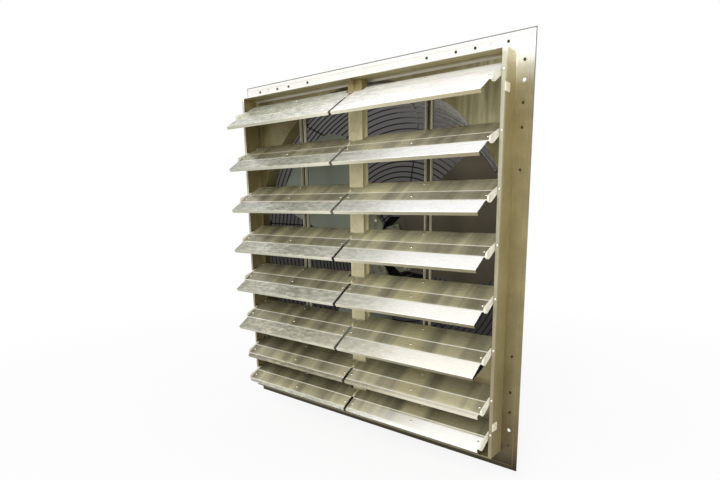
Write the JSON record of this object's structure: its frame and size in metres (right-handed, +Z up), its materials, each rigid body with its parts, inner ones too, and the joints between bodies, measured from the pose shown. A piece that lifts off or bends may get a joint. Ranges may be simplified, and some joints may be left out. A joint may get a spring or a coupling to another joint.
{
  "type": "shutter exhaust fan",
  "caption": "Wall exhaust fan in a folded sheet frame with linked louvre blades in front, a paddle propeller and a black wire basket guard behind.",
  "frame": {"origin": "centre of the fan panel's rear face, which lies on the wall plane, at the centre of the side bolt holes", "axes": "+X to the right as seen from the louvre side, +Y from the louvres into the wall toward the motor, +Z up"},
  "size_m": [0.977, 0.4098, 1.022],
  "materials": {
    "frame_sheet": "mill finish galvanised sheet",
    "mullion_sheet": "mill finish galvanised sheet",
    "blade_sheet": "mill finish sheet",
    "tie_bar_sheet": "mill finish sheet",
    "panel_sheet": "galvanised sheet",
    "nylon_white": "moulded",
    "nylon_dark": "moulded",
    "tan_plastic": "moulded",
    "rivet_metal": "bright",
    "guard_wire": "black coated wire",
    "motor_paint": "satin",
    "spider_paint": "zinc plated",
    "shaft_steel": "ground",
    "propeller_sheet": "dull sheet"
  },
  "bodies": {
    "frame": {"frame_top": "frame_sheet", "frame_bottom": "frame_sheet", "frame_left": "frame_sheet", "frame_right": "frame_sheet", "mullion": "mullion_sheet", "mullion_gusset": "mullion_sheet", "jamb_bearings": "nylon_dark", "centre_bearings": "mullion_sheet", "lip_rivets": "rivet_metal", "corner_plugs": "tan_plastic", "fan_panel": "panel_sheet", "panel_screws": "rivet_metal", "guard_side": "guard_wire", "guard_face": "guard_wire", "guard_clips": "guard_wire", "motor_mount": "motor_paint", "motor_body": "motor_paint", "motor_bells": "motor_paint", "motor_bolts": "rivet_metal"},
    "propeller": {"hub_spider": "spider_paint", "shaft": "shaft_steel", "propeller_rivets": "rivet_metal", "propeller_blade_1": "propeller_sheet", "propeller_blade_2": "propeller_sheet", "propeller_blade_3": "propeller_sheet"},
    "louvre_left_1": {"blade_left_1": "blade_sheet", "blade_ends_left_1": "nylon_white"},
    "louvre_left_2": {"blade_left_2": "blade_sheet", "blade_ends_left_2": "nylon_white"},
    "louvre_left_3": {"blade_left_3": "blade_sheet", "blade_ends_left_3": "nylon_white"},
    "louvre_left_4": {"blade_left_4": "blade_sheet", "blade_ends_left_4": "nylon_white"},
    "louvre_left_5": {"blade_left_5": "blade_sheet", "blade_ends_left_5": "nylon_white"},
    "louvre_left_6": {"blade_left_6": "blade_sheet", "blade_ends_left_6": "nylon_white"},
    "louvre_left_7": {"blade_left_7": "blade_sheet", "blade_ends_left_7": "nylon_white"},
    "louvre_left_8": {"blade_left_8": "blade_sheet", "blade_ends_left_8": "nylon_white"},
    "tie_rod_left": {"tie_bar_left": "tie_bar_sheet"},
    "louvre_right_1": {"blade_right_1": "blade_sheet", "blade_ends_right_1": "nylon_white"},
    "louvre_right_2": {"blade_right_2": "blade_sheet", "blade_ends_right_2": "nylon_white"},
    "louvre_right_3": {"blade_right_3": "blade_sheet", "blade_ends_right_3": "nylon_white"},
    "louvre_right_4": {"blade_right_4": "blade_sheet", "blade_ends_right_4": "nylon_white"},
    "louvre_right_5": {"blade_right_5": "blade_sheet", "blade_ends_right_5": "nylon_white"},
    "louvre_right_6": {"blade_right_6": "blade_sheet", "blade_ends_right_6": "nylon_white"},
    "louvre_right_7": {"blade_right_7": "blade_sheet", "blade_ends_right_7": "nylon_white"},
    "louvre_right_8": {"blade_right_8": "blade_sheet", "blade_ends_right_8": "nylon_white"},
    "tie_rod_right": {"tie_bar_right": "tie_bar_sheet"}
  },
  "joints": [
    {"name": "propeller_spin", "type": "hinge", "parent": "frame", "child": "propeller", "pos_m": [0, 0.07, 0], "axis": [0, 1, 0], "continuous": true},
    {"name": "louvre_left_1_hinge", "type": "hinge", "parent": "frame", "child": "louvre_left_1", "pos_m": [0, -0.0494, 0.4223], "axis": [1, 0, 0], "range_deg": [-6, 50]},
    {"name": "louvre_left_2_hinge", "type": "hinge", "parent": "frame", "child": "louvre_left_2", "pos_m": [0, -0.0494, 0.2988], "axis": [1, 0, 0], "range_deg": [-6, 50]},
    {"name": "louvre_left_3_hinge", "type": "hinge", "parent": "frame", "child": "louvre_left_3", "pos_m": [0, -0.0494, 0.1753], "axis": [1, 0, 0], "range_deg": [-6, 50]},
    {"name": "louvre_left_4_hinge", "type": "hinge", "parent": "frame", "child": "louvre_left_4", "pos_m": [0, -0.0494, 0.0518], "axis": [1, 0, 0], "range_deg": [-6, 50]},
    {"name": "louvre_left_5_hinge", "type": "hinge", "parent": "frame", "child": "louvre_left_5", "pos_m": [0, -0.0494, -0.0717], "axis": [1, 0, 0], "range_deg": [-6, 50]},
    {"name": "louvre_left_6_hinge", "type": "hinge", "parent": "frame", "child": "louvre_left_6", "pos_m": [0, -0.0494, -0.1952], "axis": [1, 0, 0], "range_deg": [-6, 50]},
    {"name": "louvre_left_7_hinge", "type": "hinge", "parent": "frame", "child": "louvre_left_7", "pos_m": [0, -0.0494, -0.3187], "axis": [1, 0, 0], "range_deg": [-6, 50]},
    {"name": "louvre_left_8_hinge", "type": "hinge", "parent": "frame", "child": "louvre_left_8", "pos_m": [0, -0.0494, -0.4072], "axis": [1, 0, 0], "range_deg": [-6, 50]},
    {"name": "tie_bar_left_hinge", "type": "hinge", "parent": "louvre_left_1", "child": "tie_rod_left", "pos_m": [0, -0.0114, 0.4323], "axis": [1, 0, 0], "range_deg": [-50, 6]},
    {"name": "louvre_right_1_hinge", "type": "hinge", "parent": "frame", "child": "louvre_right_1", "pos_m": [0, -0.0494, 0.4223], "axis": [1, 0, 0], "range_deg": [-6, 50]},
    {"name": "louvre_right_2_hinge", "type": "hinge", "parent": "frame", "child": "louvre_right_2", "pos_m": [0, -0.0494, 0.2988], "axis": [1, 0, 0], "range_deg": [-6, 50]},
    {"name": "louvre_right_3_hinge", "type": "hinge", "parent": "frame", "child": "louvre_right_3", "pos_m": [0, -0.0494, 0.1753], "axis": [1, 0, 0], "range_deg": [-6, 50]},
    {"name": "louvre_right_4_hinge", "type": "hinge", "parent": "frame", "child": "louvre_right_4", "pos_m": [0, -0.0494, 0.0518], "axis": [1, 0, 0], "range_deg": [-6, 50]},
    {"name": "louvre_right_5_hinge", "type": "hinge", "parent": "frame", "child": "louvre_right_5", "pos_m": [0, -0.0494, -0.0717], "axis": [1, 0, 0], "range_deg": [-6, 50]},
    {"name": "louvre_right_6_hinge", "type": "hinge", "parent": "frame", "child": "louvre_right_6", "pos_m": [0, -0.0494, -0.1952], "axis": [1, 0, 0], "range_deg": [-6, 50]},
    {"name": "louvre_right_7_hinge", "type": "hinge", "parent": "frame", "child": "louvre_right_7", "pos_m": [0, -0.0494, -0.3187], "axis": [1, 0, 0], "range_deg": [-6, 50]},
    {"name": "louvre_right_8_hinge", "type": "hinge", "parent": "frame", "child": "louvre_right_8", "pos_m": [0, -0.0494, -0.4072], "axis": [1, 0, 0], "range_deg": [-6, 50]},
    {"name": "tie_bar_right_hinge", "type": "hinge", "parent": "louvre_right_1", "child": "tie_rod_right", "pos_m": [0, -0.0114, 0.4323], "axis": [1, 0, 0], "range_deg": [-50, 6]}
  ],
  "couplings": [
    {"joint": "louvre_left_2_hinge", "follows": "louvre_left_1_hinge", "ratio": 1},
    {"joint": "louvre_left_3_hinge", "follows": "louvre_left_1_hinge", "ratio": 1},
    {"joint": "louvre_left_4_hinge", "follows": "louvre_left_1_hinge", "ratio": 1},
    {"joint": "louvre_left_5_hinge", "follows": "louvre_left_1_hinge", "ratio": 1},
    {"joint": "louvre_left_6_hinge", "follows": "louvre_left_1_hinge", "ratio": 1},
    {"joint": "louvre_left_7_hinge", "follows": "louvre_left_1_hinge", "ratio": 1},
    {"joint": "louvre_left_8_hinge", "follows": "louvre_left_1_hinge", "ratio": 1},
    {"joint": "tie_bar_left_hinge", "follows": "louvre_left_1_hinge", "ratio": -1},
    {"joint": "louvre_right_2_hinge", "follows": "louvre_right_1_hinge", "ratio": 1},
    {"joint": "louvre_right_3_hinge", "follows": "louvre_right_1_hinge", "ratio": 1},
    {"joint": "louvre_right_4_hinge", "follows": "louvre_right_1_hinge", "ratio": 1},
    {"joint": "louvre_right_5_hinge", "follows": "louvre_right_1_hinge", "ratio": 1},
    {"joint": "louvre_right_6_hinge", "follows": "louvre_right_1_hinge", "ratio": 1},
    {"joint": "louvre_right_7_hinge", "follows": "louvre_right_1_hinge", "ratio": 1},
    {"joint": "louvre_right_8_hinge", "follows": "louvre_right_1_hinge", "ratio": 1},
    {"joint": "tie_bar_right_hinge", "follows": "louvre_right_1_hinge", "ratio": -1}
  ]
}
